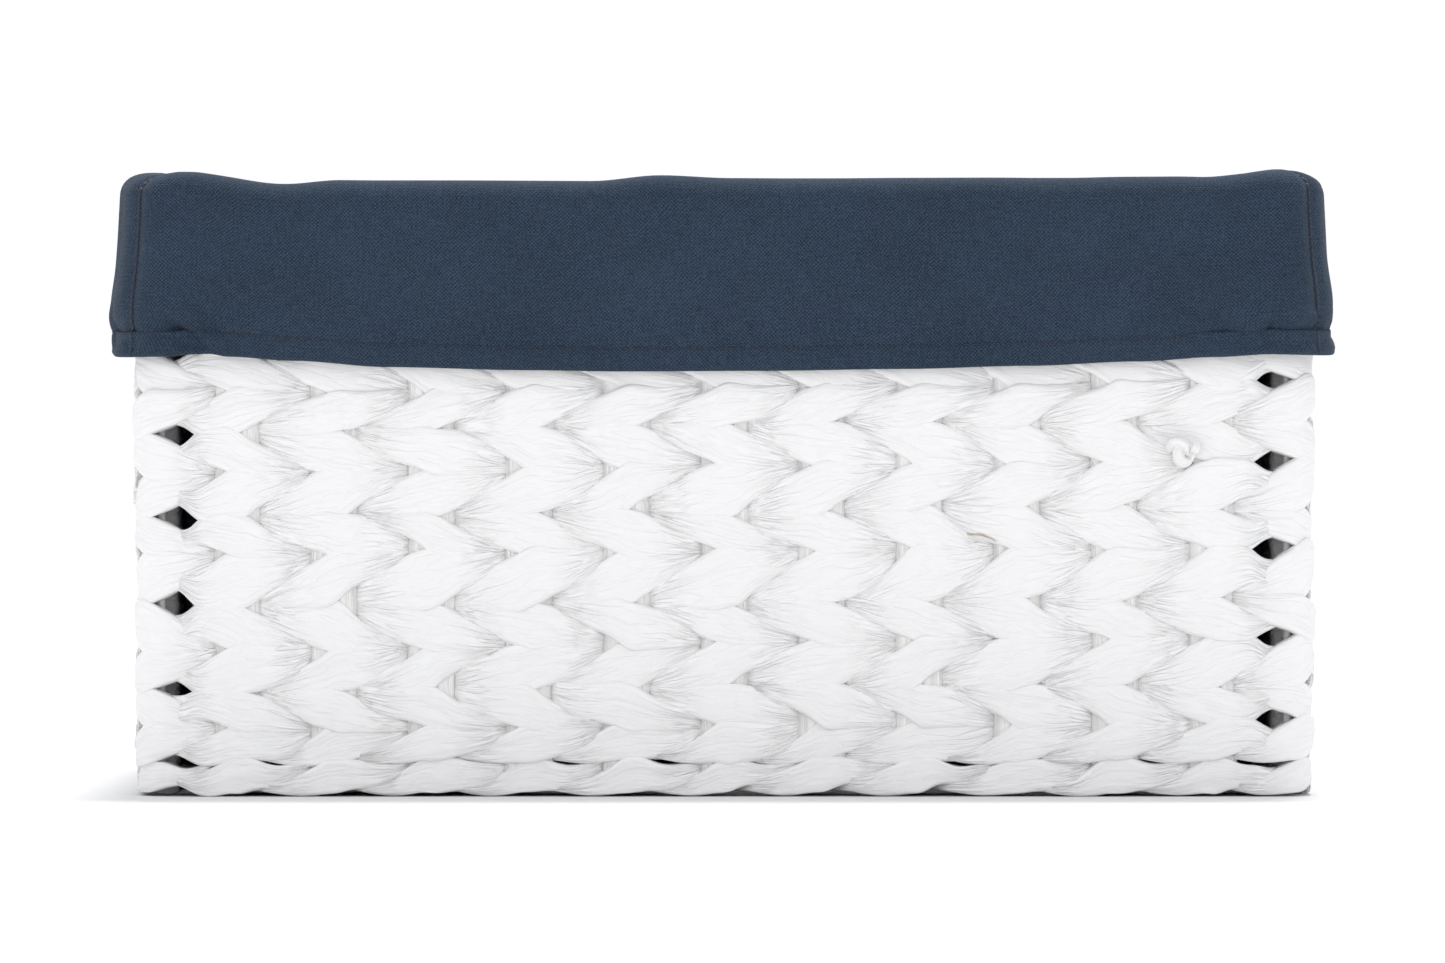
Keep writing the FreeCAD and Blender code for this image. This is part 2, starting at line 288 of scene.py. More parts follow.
def paper_material(name, face, crease_shade, spacing, length, bump):
    """Matt paper strip gathered lengthwise: spacing is between its folds, which are about that long. Its crease
    colour is painted shade laid along the folds and wrinkles.
    """
    recipe = Recipe(name, Roughness=0.65, Specular_IOR_Level=0.2)
    folds = recipe.lines(recipe.noise((spacing, length, 0), 1.0), 0.03)
    wrinkles = recipe.lines(recipe.noise((0.4 * spacing, 0.6 * length, 0), 2.0), 0.05)
    fibres = recipe.noise((0.12 * spacing, 0.8 * length, 0), 3.0)
    patches = recipe.noise((3 * spacing, 0.6 * length, 0), 2.0)
    gather = recipe.step("ShaderNodeAttribute", [], attribute_name="gather").outputs["Fac"]
    # Painted shade: the fold and wrinkle lines pull the colour towards the crease colour, more where the paper
    # is more gathered. The fibres and patches are the paper's own uneven tone.
    lines = recipe.maths("MAXIMUM", folds, recipe.maths("MULTIPLY", wrinkles, 0.5))
    lines = recipe.maths("MULTIPLY", lines, recipe.maths("MULTIPLY_ADD", gather, 0.6, 0.4))
    tone = recipe.maths("MULTIPLY_ADD", recipe.maths("SUBTRACT", fibres, 0.4), 0.2, lines)
    tone = recipe.maths("MULTIPLY_ADD", recipe.maths("SUBTRACT", patches, 0.4), 0.3, tone)
    recipe.colour(tone, face, crease_shade)
    height = recipe.maths("MULTIPLY_ADD", fibres, 0.25, recipe.maths("MULTIPLY", lines, -1.0))
    recipe.bump(height, bump)
    return recipe.material


def cloth_material(name, dark, light, thread):
    """Plain-woven linen-look cloth. thread is the spacing of its threads; slubs and streaks vary it."""
    recipe = Recipe(name, Roughness=0.9, Specular_IOR_Level=0.2, Sheen_Weight=0.06, Sheen_Roughness=0.5)
    split = recipe.step("ShaderNodeSeparateXYZ", [recipe.place.outputs["UV"]])
    uneven = recipe.maths("MULTIPLY", recipe.noise((17 * MM, 17 * MM, 0), 2.0), 14.0)
    waves = []
    for axis in ("X", "Y"):
        turned = recipe.maths("MULTIPLY_ADD", split.outputs[axis], math.pi / thread, uneven)
        waves.append(recipe.maths("SINE", turned))
    checker = recipe.maths("MULTIPLY", *waves)
    hills = recipe.maths("ABSOLUTE", checker)
    warp = recipe.noise((1.2 * thread, 9 * thread, 0), 2.0)
    weft = recipe.noise((9 * thread, 1.2 * thread, 0), 2.0)
    streaks = recipe.maths("MULTIPLY", recipe.maths("ADD", warp, weft), 0.5)
    grain = recipe.noise((thread, thread, 0), 2.0)
    cloudy = recipe.noise((45 * MM, 35 * MM, 0), 3.0)
    tone = recipe.maths("MULTIPLY_ADD", checker, 0.16, 0.5)
    for layer, share in ((streaks, 0.45), (grain, 0.6), (cloudy, 0.18)):
        tone = recipe.maths("MULTIPLY_ADD", recipe.maths("SUBTRACT", layer, 0.5), share, tone)
    recipe.colour(tone, dark, light, 0.35, 0.67)
    recipe.bump(recipe.maths("MULTIPLY_ADD", hills, 0.75, streaks), 0.2 * MM)
    return recipe.material


def paint_material(name, fresh, worn):
    """Thick dipped paint with a slightly uneven coat."""
    recipe = Recipe(name, Specular_IOR_Level=0.4, Roughness=0.4)
    recipe.colour(recipe.noise((12 * MM, 12 * MM, 12 * MM), 4.0, "Object"), fresh, worn)
    recipe.bump(recipe.noise((2 * MM, 2 * MM, 2 * MM), 2.0, "Object"), 0.08 * MM)
    return recipe.material


def thread_material(name, dark, light):
    """Sewing thread: fine twisted filaments."""
    recipe = Recipe(name, Roughness=0.6)
    twist = recipe.noise((0.15 * MM, 0.6 * MM, 0), 2.0)
    recipe.colour(twist, dark, light, 0.3, 0.7)
    recipe.bump(twist, 0.05 * MM)
    return recipe.material


# Each paper's second colour is painted shade, laid along its folds and wrinkles.
ROPE_PAPER = paper_material(
    "rope_paper", (0.832, 0.829, 0.829), (0.79, 0.782, 0.77), 2.6 * MM, 18 * MM, 0.2 * MM
)
WORN_PAPER = paper_material("worn_paper", (0.78, 0.70, 0.60), (0.60, 0.45, 0.33), 0.8 * MM, 12 * MM, 0.2 * MM)
# Painted light: the stakes' paper is whiter than the ropes', to lift the shade where the stakes show in the
# notches between stitches.
STAKE_PAPER = paper_material(
    "stake_paper", (0.90, 0.897, 0.885), (0.82, 0.80, 0.76), 1.1 * MM, 60 * MM, 0.15 * MM
)
LINER_CLOTH = cloth_material("liner_cloth", (0.0105, 0.020, 0.036), (0.040, 0.066, 0.105), 0.62 * MM)
WIRE_PAINT = paint_material("wire_paint", (0.78, 0.78, 0.77), (0.68, 0.67, 0.65))
THREAD = thread_material("thread", (0.008, 0.010, 0.022), (0.02, 0.024, 0.045))


# ---- Twined ropes

ROW_OVERLAP = 1.8 * MM  # how far a rope squeezes past its row's edge into the next row
BORDER_FACE = 6.9 * MM  # how far the base border stands out from the walls' middle plane
RIM_ROPE_TOP_Z = RIM_TOP_Z - 0.9 * MM  # clear of the liner's arch over the rim
ROPE_GIRTH = 36 * MM
# As shares of the way from one station to the next: where a rope's outer face starts to dive behind the
# stake, where its inner face has finished rising to the front, and how long each takes.
DIVE_START, RISE_END, CROSSING = 0.67, 0.33, 0.31
END_TAPER = 0.25  # a rope thins out over that part of the way at both its ends
END_MERGE = 0.9  # and one end moves above the other over this part
EDGE_STEPS = 12  # heights kept along the line between two rows, from one station to the next
SQUARENESS = 6.5  # a rope's section is a superellipse of this power: 2 would be an ellipse
WEAVE_CORNER_RADIUS = 7 * MM
BUNDLE_THICKNESS = 10 * MM  # a stake is a flat bundle of paper cords, fuller than the strip in its middle
BUNDLE_WIDTH = STAKE_WIDTH + 3.4 * MM  # it spreads into the gaps beside it
BACK_TUCK_STATION = STAKES_ON_FRONT + STAKES_ON_SIDE + 8  # on the back wall, where ropes start and end

# How far each line between two wall rows lies above its even place at the front's left and right corners.
LIFT_LEFT = np.array([-0.2, -1.0, -2.4, -3.0, -1.4, 0.2, -0.8, 0.2, -0.6, -0.6, -0.4, -0.2, 0.0, 0.0]) * MM
LIFT_RIGHT = np.array([1.6, 0.6, -0.5, 2.1, -0.2, 3.1, 3.3, 4.1, 3.6, 3.1, 2.2, 1.4, 0.7, 0.0]) * MM


class Route:
    """Where ropes run: the stations they pass, in order, and which of those are thin posts."""

    def __init__(self, stations, posts, place, up, closed):
        self.stations, self.posts, self.place, self.up, self.closed = stations, posts, place, up, closed


def rope_section(count):
    """A rope's section at unit size: height, depth, the two parts of its normal, and share of its girth."""
    angle = np.linspace(0, 2 * math.pi, 4001)
    corner = 2 / SQUARENESS
    height = np.sign(np.cos(angle)) * np.abs(np.cos(angle)) ** corner
    depth = np.sign(np.sin(angle)) * np.abs(np.sin(angle)) ** corner
    step = np.hypot(2 * np.diff(height), np.diff(depth))  # a rope is about twice as tall as it is deep
    dense = step * np.where(angle[1:] < math.pi, 2.0, 1.0)  # with more points on the side that faces out
    girth = np.concatenate([[0], np.cumsum(step)]) / step.sum()
    place = np.concatenate([[0], np.cumsum(dense)]) / dense.sum()
    even = np.arange(count) / count
    across, through, share = (np.interp(even, place, values) for values in (height, depth, girth))
    normal_up = np.sign(across) * np.abs(across) ** (SQUARENESS - 1) / 2
    normal_out = np.sign(through) * np.abs(through) ** (SQUARENESS - 1)
    size = np.hypot(normal_up, normal_out)
    return across, through, normal_up / size, normal_out / size, share


def strand(
    seed, route, starts_outside, low_z, high_z, lean, swaps, face, overlap, steps=22, around=56, first=0
):
    """One rope of a twined pair, outside one station and inside the next, as (points, faces, uv, gather).

    low_z and high_z give the heights of its row's edges at a place counted in stations. lean is 1 if the
    outer stitches rise to the right. swaps moves the place where the two ropes change over, after each
    station, and bends the line between them. face is how far the stitches' faces stand out from the stakes'
    middle plane. overlap is how far the rope squeezes past its row's lower and upper edges. steps are its
    rings from one station to the next, around the points on each. first is the station where it starts.
    """
    rng = np.random.default_rng(seed)
    count = len(route.stations)
    parity = 0 if starts_outside else 1
    # Each ring's place, counted in stations.
    if route.closed:
        first += first % 2 == parity
        turn = np.linspace(first - 0.5, first + count + 0.5, (count + 1) * steps + 1)
    else:
        turn = np.linspace(0, count - 1, (count - 1) * steps + 1)
    rings = len(turn)

    # Where each ring lies between the station its stitch passes outside and one it passes inside.
    outside = 2 * np.round((turn - parity) / 2).astype(int) + parity
    is_tail = turn >= outside
    gone = np.abs(turn - outside)
    own_post = route.posts[outside % count]
    other_post = route.posts[(outside + np.where(is_tail, 1, -1)) % count]
    stitch = rng.normal(0, 1, (count, 5))[outside % count]

    # Between two stations the rope on the left gives the row over to the one on the right on a slanting line.
    left = np.floor(turn).astype(int)
    post_left, post_right = route.posts[left % count], route.posts[(left + 1) % count]
    start, end = np.where(post_left, 0.0, 0.08), np.where(post_right, 1.0, 0.92)
    shift = np.where(post_left | post_right, 0, swaps[0][left % count])
    bend = np.where(post_left | post_right, 1, swaps[1][left % count])
    over = np.clip((turn - left - start - shift) / (end - start), 0, 1) ** bend
    kept = np.where(is_tail, 1 - over, over)
    keeps_top = is_tail == (lean > 0)
    bottom, top = np.where(keeps_top, 1 - kept, 0), np.where(keeps_top, 1, kept)
    tuck_start = np.where(other_post, 0.38, 0.82)
    tuck_end = np.where(other_post, 0.74 + 0.06 * stitch[:, 3], 0.98)
    tucked = smooth_step((gone - tuck_start) / (tuck_end - tuck_start))
    slim = np.where(other_post, 0.26 + 0.04 * np.clip(stitch[:, 0], -2, 2), 0.47)
    bottom += (0.5 - slim - bottom) * tucked
    top += (0.5 + slim - top) * tucked
    open_until = np.where(own_post, 0.4, 0.18)
    snug = 0.3 + 0.4 * np.abs(stitch[:, 2])
    slant_overlap = (snug + (1.2 - snug) * smooth_step((gone - open_until) / 0.2)) * (1 - tucked) * MM
    loose = 0.3 * MM * stitch[:, 4] * min(overlap[1] / MM, 1)
    low_over = np.where(keeps_top, slant_overlap, (overlap[0] + loose) * (1 - tucked))
    high_over = np.where(keeps_top, (overlap[1] + loose) * (1 - tucked), slant_overlap)
    row_low, row_high = low_z(turn), high_z(turn)
    base = row_low + bottom * (row_high - row_low) - low_over
    crown = row_low + top * (row_high - row_low) + high_over

    # Its outer and inner surfaces change sides of the stakes late, so that the wall stays full between them.
    behind = BUNDLE_THICKNESS / 2 + 0.1 * MM
    proud = face + 0.4 * MM * np.clip(stitch[:, 1], -2, 2)
    front = proud - (proud + behind) * smooth_step((gone - DIVE_START) / CROSSING)
    back = -face + (face + behind) * smooth_step((RISE_END - gone) / CROSSING)
    back = np.where(other_post, np.maximum(back, front - 4.5 * MM), back)

    half, middle = soften((crown - base) / 2, steps // 10), soften((crown + base) / 2, steps // 10)
    deep, out = soften((front - back) / 2, steps // 10), soften((front + back) / 2, steps // 10)
    for from_end, way_up in ((turn - turn[0], -1), (turn[-1] - turn, 1)):
        thin = np.sqrt(np.clip(from_end / END_TAPER, 0.01, 1))
        if route.closed:  # both ends lie one above the other inside the same stake
            close = smooth_step(1 - from_end / END_MERGE)
            middle = middle + way_up * close * half * 0.5
            half = half * (1 - 0.5 * close)
        half, deep = half * thin, deep * thin

    distance = np.interp(turn, np.arange(count), route.stations)
    if route.closed:
        twice_round = np.append(route.stations, route.stations + ROUND_LENGTH)
        distance = np.interp(turn, np.arange(2 * count), twice_round)
    centre, outward = route.place(distance, out)
    across, through, normal_up, normal_out, share = rope_section(around)
    creases = smooth_noise(rng, rings, around, count * 2, 13)
    fine = smooth_noise(rng, rings, around, count * 3, 21)
    panels = smooth_noise(rng, rings, around, count * 2, 6)
    valleys = -((1 - np.abs(creases)) ** 7) - 0.5 * (1 - np.abs(fine)) ** 6
    # How tightly the paper is drawn together: it rises towards each end of a stitch and halves again where the
    # rope dives behind a stake. It scales the creases' relief and the painted shade the paper material lays
    # along them.
    gather = smooth_step((gone - 0.15) / 0.5) * (1 - 0.5 * smooth_step((gone - 0.65) / 0.2))
    relief = valleys * (0.2 + 0.14 * gather[:, None]) * MM + panels * 0.35 * MM
    up = middle[:, None] + across * half[:, None] + relief * normal_up
    along_out = through * deep[:, None] + relief * normal_out
    points = centre[:, None] + route.up * up[..., None] + outward[:, None] * along_out[..., None]

    points[..., 2] = np.maximum(points[..., 2], 0.1 * MM)  # what rests on the floor is pressed flat by it
    length = np.concatenate([[0], np.cumsum(np.linalg.norm(np.diff(centre, axis=0), axis=1))])
    girth = np.append(share, 1.0) * ROPE_GIRTH
    uv = grid_uv(girth[None, :], length[:, None] + seed * 0.37)
    return points, grid_faces(rings, around, True), uv, np.repeat(gather, around)


ROUND_THE_WALLS = Route(
    STATIONS, AT_CORNER, lambda distance, out: plan(distance, out, WEAVE_CORNER_RADIUS), UP, closed=True
)


def row_edges():
    """For each line between two wall rows, lowest first, a function from places in stations to its height."""
    rng = np.random.default_rng(5)
    places = np.arange(STATION_COUNT * EDGE_STEPS) / EDGE_STEPS
    distance = np.interp(places, np.arange(STATION_COUNT + 1), np.append(STATIONS, ROUND_LENGTH))
    share = np.minimum(distance / LENGTHS[0], (ROUND_LENGTH - distance) / (ROUND_LENGTH - LENGTHS[0]))
    edges = []
    for n in range(WALL_ROWS + 1):
        lift = LIFT_LEFT[n] + (LIFT_RIGHT[n] - LIFT_LEFT[n]) * share
        slow = ring_noise(rng, len(places), STATION_COUNT // 3)
        wander = 0.5 * slow + 0.5 * ring_noise(rng, len(places), STATION_COUNT)
        # Under the heads of two rows' stitches the line bows up beside each stake's right edge, under their
        # tails beside its left edge; most of all above the base border.
        peak = 0.14 if n % 2 == 0 else -0.14
        bow = 0.9 * MM if n == 0 else 0.3 * MM
        scallop = bow * np.cos(2 * math.pi * (places - peak))
        edges.append(round_the_walls(WALL_BOTTOM_Z + n * ROW_PITCH + lift + wander * 1.5 * MM + scallop))
    return edges


def round_the_walls(heights):
    """A function from places in stations to heights, from heights all round the basket."""
    places = np.arange(3 * len(heights)) / EDGE_STEPS
    return lambda turn: np.interp(turn, places, np.tile(heights, 3))


def change_overs(seed, count):
    """How far each change-over of a pair is shifted, in stations, and how its slanting line is bent."""
    rng = np.random.default_rng(seed)
    shifts = np.clip(rng.normal(0, 0.055, count), -0.1, 0.1)
    bends = np.exp(np.clip(rng.normal(0, 0.32, count), -0.6, 0.6))
    return shifts, bends


def weave_row(name, node, seed, lower, upper, lean, face, overlap):
    """Both ropes of one row, in place of the CAD nodes whose names start with node."""
    swaps = change_overs(seed, STATION_COUNT)
    for letter in "ab":
        points, faces, uv, gather = strand(
            2 * seed + (letter == "b"), ROUND_THE_WALLS, letter == "a", lower, upper, lean, swaps, face,
            overlap, first=BACK_TUCK_STATION,
        )
        piece = make_piece(f"{name}_{letter}", points, faces, uv, ROPE_PAPER, gather)
        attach(piece, "basket")
        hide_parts(f"{node}_{letter}")


def weave():
    edges = row_edges()
    for n in range(WALL_ROWS):
        lean = 1 if n % 2 == 0 else -1
        low_overlap = 0.1 * MM if n == 0 else ROW_OVERLAP
        weave_row(
            f"twined_row_{n + 1:02d}", f"wall_row_{n + 1:02d}_rope", 100 + n, edges[n], edges[n + 1], lean,
            WALL_FACE, (low_overlap, ROW_OVERLAP),
        )

    slits = np.abs(np.random.default_rng(8).normal(0, 1.0, 3 * STATION_COUNT))

    def border_floor(turn):
        return 0.9 * MM + 0.9 * MM * np.cos(2 * math.pi * (turn - 0.14))

    def border_top(turn):
        # Beside each stake's right edge a slit shows between the border and the first row.
        dip = np.clip(1 - (((turn - np.floor(turn)) - 0.36) / 0.2) ** 2, 0, 1)
        return edges[0](turn) + (0.6 - 1.6 * dip * np.minimum(slits[np.floor(turn).astype(int)], 1.1)) * MM

    def rim_top(turn):
        return np.full(len(turn), RIM_ROPE_TOP_Z)

    weave_row(
        "base_border", "base_border_rope", 200, border_floor, border_top, 1, BORDER_FACE, (0.0, 0.2 * MM)
    )
    weave_row(
        "rim_border", "rim_border_rope", 201, edges[-1], rim_top, -1, WALL_FACE - 1 * MM, (0.6 * MM, 0.0)
    )


BASE_ROWS = 20
BASE_STAKES = STAKES_ON_FRONT - 1
BASE_Z = middle_z("base_ring_wire")


def weave_base():
    """The rope pairs across the base stakes, as one piece."""
    low, high = node_box("base_weave_ropes")
    bands = (np.arange(BASE_STAKES) - (BASE_STAKES - 1) / 2) * STAKE_PITCH
    stations = np.concatenate([[low[0]], bands, [high[0]]])
    pitch = (high[1] - low[1]) / BASE_ROWS
    face = BASE_Z - low[2]

    def place(distance, out):
        flat = np.zeros(len(distance))
        down = np.stack([flat, flat, flat - 1], -1)
        return np.stack([distance, flat, BASE_Z - out], -1), down

    route = Route(stations, np.zeros(len(stations), bool), place, np.array([0.0, 1.0, 0.0]), closed=False)
    parts = []
    for row in range(BASE_ROWS):
        swaps = change_overs(400 + row, len(stations))
        low_y = low[1] + row * pitch
        for starts_outside in (True, False):
            parts.append(
                strand(
                    500 + 2 * row + starts_outside, route, starts_outside,
                    lambda turn: np.full(len(turn), low_y), lambda turn: np.full(len(turn), low_y + pitch),
                    1 if row % 2 == 0 else -1, swaps, face, (0.6 * MM, 0.6 * MM), steps=8, around=20,
                )
            )
    points, faces, uv, gather = join_grids(parts)
    piece = make_piece("base_weave", points, faces, uv, ROPE_PAPER, gather)
    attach(piece, "basket")
    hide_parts("base_weave_ropes")


# ---- Stakes


def bundle(start, end, across, width, thickness, seed):
    """A flat bundle of paper cords from start to end, pressed almost flat at both ends, as (points, faces, uv,
    gather).
    """
    rng = np.random.default_rng(seed)
    rings, around = 60, 64
    share = np.linspace(0, 1, rings)
    run = end - start
    facing = np.cross(run / np.linalg.norm(run), across)
    angle = np.linspace(0, 2 * math.pi, around, endpoint=False)
    side = np.sign(np.cos(angle)) * np.abs(np.cos(angle)) ** 0.35
    depth = np.sign(np.sin(angle)) * np.abs(np.sin(angle)) ** 0.35
    cords = 12
    ridges = 0.18 * MM * np.abs(np.sin(math.pi * cords * (side + 1) / 2)) * np.abs(depth)
    taper = np.sqrt(np.clip(np.minimum(share, 1 - share) / 0.012, 0.003, 1))[:, None]
    sway = 0.3 * MM * smooth_noise(rng, rings, 2, 8, 1)[:, :1]
    wide = side * (width / 2) * (0.5 + 0.5 * taper) + sway
    thick = (depth * (thickness / 2) + ridges * np.sign(depth)) * taper
    line = start + run * share[:, None]
    points = line[:, None] + across * wide[..., None] + facing * thick[..., None]
    girth = np.linspace(0, 2 * (width + thickness), around + 1)
    uv = grid_uv(girth[None, :], share[:, None] * np.linalg.norm(run) + seed * 0.23)
    # The gather of 0.7 sets how strongly the painted crease shade shows on the stakes.
    return points, grid_faces(rings, around, True), uv, np.full(points.shape[:2], 0.7)


def stand_stakes():
    foot, head = BASE_Z - 1.8 * MM, middle_z("rim_ring_wire") + 1.8 * MM
    for index, name in enumerate(WALL_NAMES):
        corner, along = np.append(CORNERS[index], 0.0), np.append(ALONG[index], 0.0)
        parts = []
        for n in range(STAKES[index]):
            middle = corner + along * (CORNER_TO_STAKE + n * STAKE_PITCH)
            ends = middle + UP * foot, middle + UP * head
            parts.append(bundle(*ends, along, BUNDLE_WIDTH, BUNDLE_THICKNESS, 20 * index + n))
        make_stakes(f"{name}_stakes", f"{name}_wall_stakes", parts)
    low, high = node_box("base_stakes")
    parts = []
    for n in range(BASE_STAKES):
        x = (n - (BASE_STAKES - 1) / 2) * STAKE_PITCH
        start, end = np.array([x, low[1], BASE_Z]), np.array([x, high[1], BASE_Z])
        width = high[0] - low[0] - (BASE_STAKES - 1) * STAKE_PITCH
        parts.append(bundle(start, end, np.array([1.0, 0.0, 0.0]), width, high[2] - low[2], 90 + n))
    make_stakes("base_bands", "base_stakes", parts)


def make_stakes(name, node, parts):
    points, faces, uv, gather = join_grids(parts)
    piece = make_piece(name, points, faces, uv, STAKE_PAPER, gather)
    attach(piece, "basket")
    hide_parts(node)


def tube(path, radius, up, seed, around=20):
    """A round rope along a path, radius at each point of it, as (points, faces, uv, gather)."""
    run = np.gradient(path, axis=0)
    run /= np.linalg.norm(run, axis=1, keepdims=True)
    side = np.cross(run, up)
    side /= np.linalg.norm(side, axis=1, keepdims=True)
    lift = np.cross(side, run)
    angle = np.linspace(0, 2 * math.pi, around, endpoint=False)
    twist = angle[None, :] + np.linspace(0, 9, len(path))[:, None]
    uneven = smooth_noise(np.random.default_rng(seed), len(path), around, 12, 5)
    size = radius[:, None] * (1 + 0.12 * np.cos(3 * twist)) * (1 + 0.08 * uneven)
    points = path[:, None] + side[:, None] * (np.cos(angle)[None, :] * size)[..., None]
    points = points + lift[:, None] * (np.sin(angle)[None, :] * size)[..., None]
    length = np.concatenate([[0], np.cumsum(np.linalg.norm(np.diff(path, axis=0), axis=1))])
    uv = grid_uv(np.linspace(0, 9 * MM, around + 1)[None, :], length[:, None])
    # The gather of 0.6 sets how strongly the painted crease shade shows on the knot and the frayed end.
    return points, grid_faces(len(path), around, True), uv, np.full(len(path) * around, 0.6)


def tie_knot():
    """Where one wall rope was joined to the next: a small flat knot, and further on a frayed brown end."""
    t = np.linspace(0.35, 2 * math.pi - 0.35, 150)
    wide, deep = np.sin(t) + 2 * np.sin(2 * t), -1.1 * np.sin(3 * t) - 0.6
    curl = np.stack([wide, deep, 0.9 * (np.cos(t) - 2 * np.cos(2 * t))], -1)
    knot = curl * 1.35 * MM + (KNOT_X, -HALF_Y - WALL_FACE - 0.6 * MM, KNOT_Z)
    ends = np.minimum(1, 0.25 + np.minimum(t - t[0], t[-1] - t) / 0.4)
    facing = np.array([0.0, -1.0, 0.0])
    parts = [("rope_knot", tube(knot, 2.0 * MM * ends, facing, 301), ROPE_PAPER)]
    share = np.linspace(0, 1, 50)
    frayed = np.stack([
        END_X - 5 * MM + 10 * MM * share, -HALF_Y - WALL_FACE - (0.8 * MM - 3 * MM * (1 - share) ** 3),
        END_Z + (2.2 * share - 4.4 * share**2) * MM,
    ], -1)
    parts.append(("rope_end", tube(frayed, (0.6 - 0.45 * share) * MM, facing, 302, around=12), WORN_PAPER))
    for name, (points, faces, uv, gather), material in parts:
        piece = make_piece(name, points, faces, uv, material, gather)
        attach(piece, "basket")


KNOT_X, KNOT_Z = 147 * MM, 111 * MM
END_X, END_Z = 82 * MM, 84 * MM
tie_knot()
weave()
weave_base()
stand_stakes()

for name, cad_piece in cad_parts.items():
    if "ring_wire" in name or "corner_post" in name:
        cad_piece.data.materials.clear()
        cad_piece.data.materials.append(WIRE_PAINT)


# ---- Liner

CLOTH = 0.9 * MM
LINER_IN = -(WALL_FACE + 1.7 * MM)  # the inside's face, from the walls' middle planes
LINER_OUT = WALL_FACE + 2.6 * MM  # the cuff's face below the rim
INSIDE_CORNER_RADIUS = 26 * MM
CUFF_CORNER_RADIUS = 5 * MM
RIM_RISE = 8 * MM  # the height of the arch over the rim
FOLD_RADIUS = 1.05 * MM  # of the hem's bottom edge
HEM_HEIGHT = 8 * MM
STITCH_HEIGHT = 7.3 * MM  # of the hem's stitching above its bottom edge
HEM_STITCH = (3.4 * MM, 2.4 * MM, 0.32 * MM)  # the stitches' pitch and length, and the thread's radius
SEAM_STITCH = (2.6 * MM, 2.4 * MM, 0.6 * MM)

# Rows of points: up the inside, over the rim, down the cuff, round the hem's edge, and up behind it.
INSIDE_ROWS, ARCH_ROWS, CUFF_ROWS, EDGE_ROWS, HEM_ROWS = 44, 18, 40, 8, 8
CUFF_START = INSIDE_ROWS + ARCH_ROWS
CUFF_END = CUFF_START + CUFF_ROWS

# In millimetres: heights of the rim and of the cuff's bottom edge, and how far that edge stands out, at
# distances along the front; and the same at the four corners.
FRONT_RIM = (
    [0, 8, 43, 60, 140, 162, 185, 335, 363, 366],
    [199.9, 200.6, 196.8, 197.8, 197.8, 199.7, 198.7, 198.9, 201.5, 201.4],
)
FRONT_HEM = (
    [0, 5, 12, 18, 24, 45, 75, 120, 150, 195, 240, 280, 315, 340, 358, 366],
    [
        140.8, 140.9, 141.6, 141.8, 140.9, 139.6, 137.6, 136.6,
        136.2, 136.4, 137.0, 138.0, 139.4, 140.8, 141.7, 141.4,
    ],
)
FRONT_FLARE = ([0, 20, 60, 185, 310, 350, 366], [13.4, 12.3, 11.4, 11.2, 11.4, 12.4, 13.8])
# Folds in the front cuff: where each starts and ends, along and up, then its width and its height.
FRONT_FOLDS = (
    ((316, 173), (356, 148), 4.0, 2.3),
    ((343, 159), (366, 148.5), 2.6, 1.8),
    ((352, 157), (371, 151.5), 2.0, 1.5),
    ((3, 157), (22, 144.5), 2.4, 2.1),
    ((12, 164), (27, 146), 2.6, 1.6),
)
CORNER_RIM = [199.9, 201.4, 199.2, 200.3]
CORNER_HEM = [140.8, 141.4, 140.6, 141.6]
SIDE_SLACK = [0.0, 1.0 * MM, 0.8 * MM, 2.3 * MM]  # how far each wall's cuff stands off between its corners
CORNER_FLARE = [13.4, 13.8, 13.0, 13.6]


def through(curve, x):
    """A smooth curve through (places, values) in millimetres, at x in metres."""
    places, values = np.array(curve[0]) * MM, np.array(curve[1]) * MM
    n = np.clip(np.searchsorted(places, x, side="right") - 1, 0, len(places) - 2)
    share = smooth_step((x - places[n]) / (places[n + 1] - places[n]))
    return values[n] + (values[n + 1] - values[n]) * share


def cuff_curves(index):
    """The rim, hem and flare curves of a wall's panel."""
    if index == 0:
        return FRONT_RIM, FRONT_HEM, FRONT_FLARE
    rng = np.random.default_rng(30 + index)
    length = LENGTHS[index] / MM
    after = (index + 1) % 4
    places = length * np.array([0, 0.04, 0.2, 0.42, 0.6, 0.82, 0.95, 1])
    rim = [CORNER_RIM[index], 200.3, 198.0, 198.7, 197.7, 198.6, 200.2, CORNER_RIM[after]]
    sag = 5.0 if index == 2 else -1.0
    low = 142.0 - sag * 0.7
    hem = [CORNER_HEM[index], 142.4, low, 141.6 - sag, 141.8 - sag, low, 142.4, CORNER_HEM[after]]
    flare = [CORNER_FLARE[index], 12.6, 11.4, 11.2, 11.3, 11.5, 12.5, CORNER_FLARE[after]]
    wander = [0, 0.4, 1, 1, 1, 1, 0.4, 0]
    curves = ((rim, 0.9), (hem, 0.9), (flare, 0.3))
    return tuple((places, values + rng.uniform(-1, 1, 8) * wander * size) for values, size in curves)


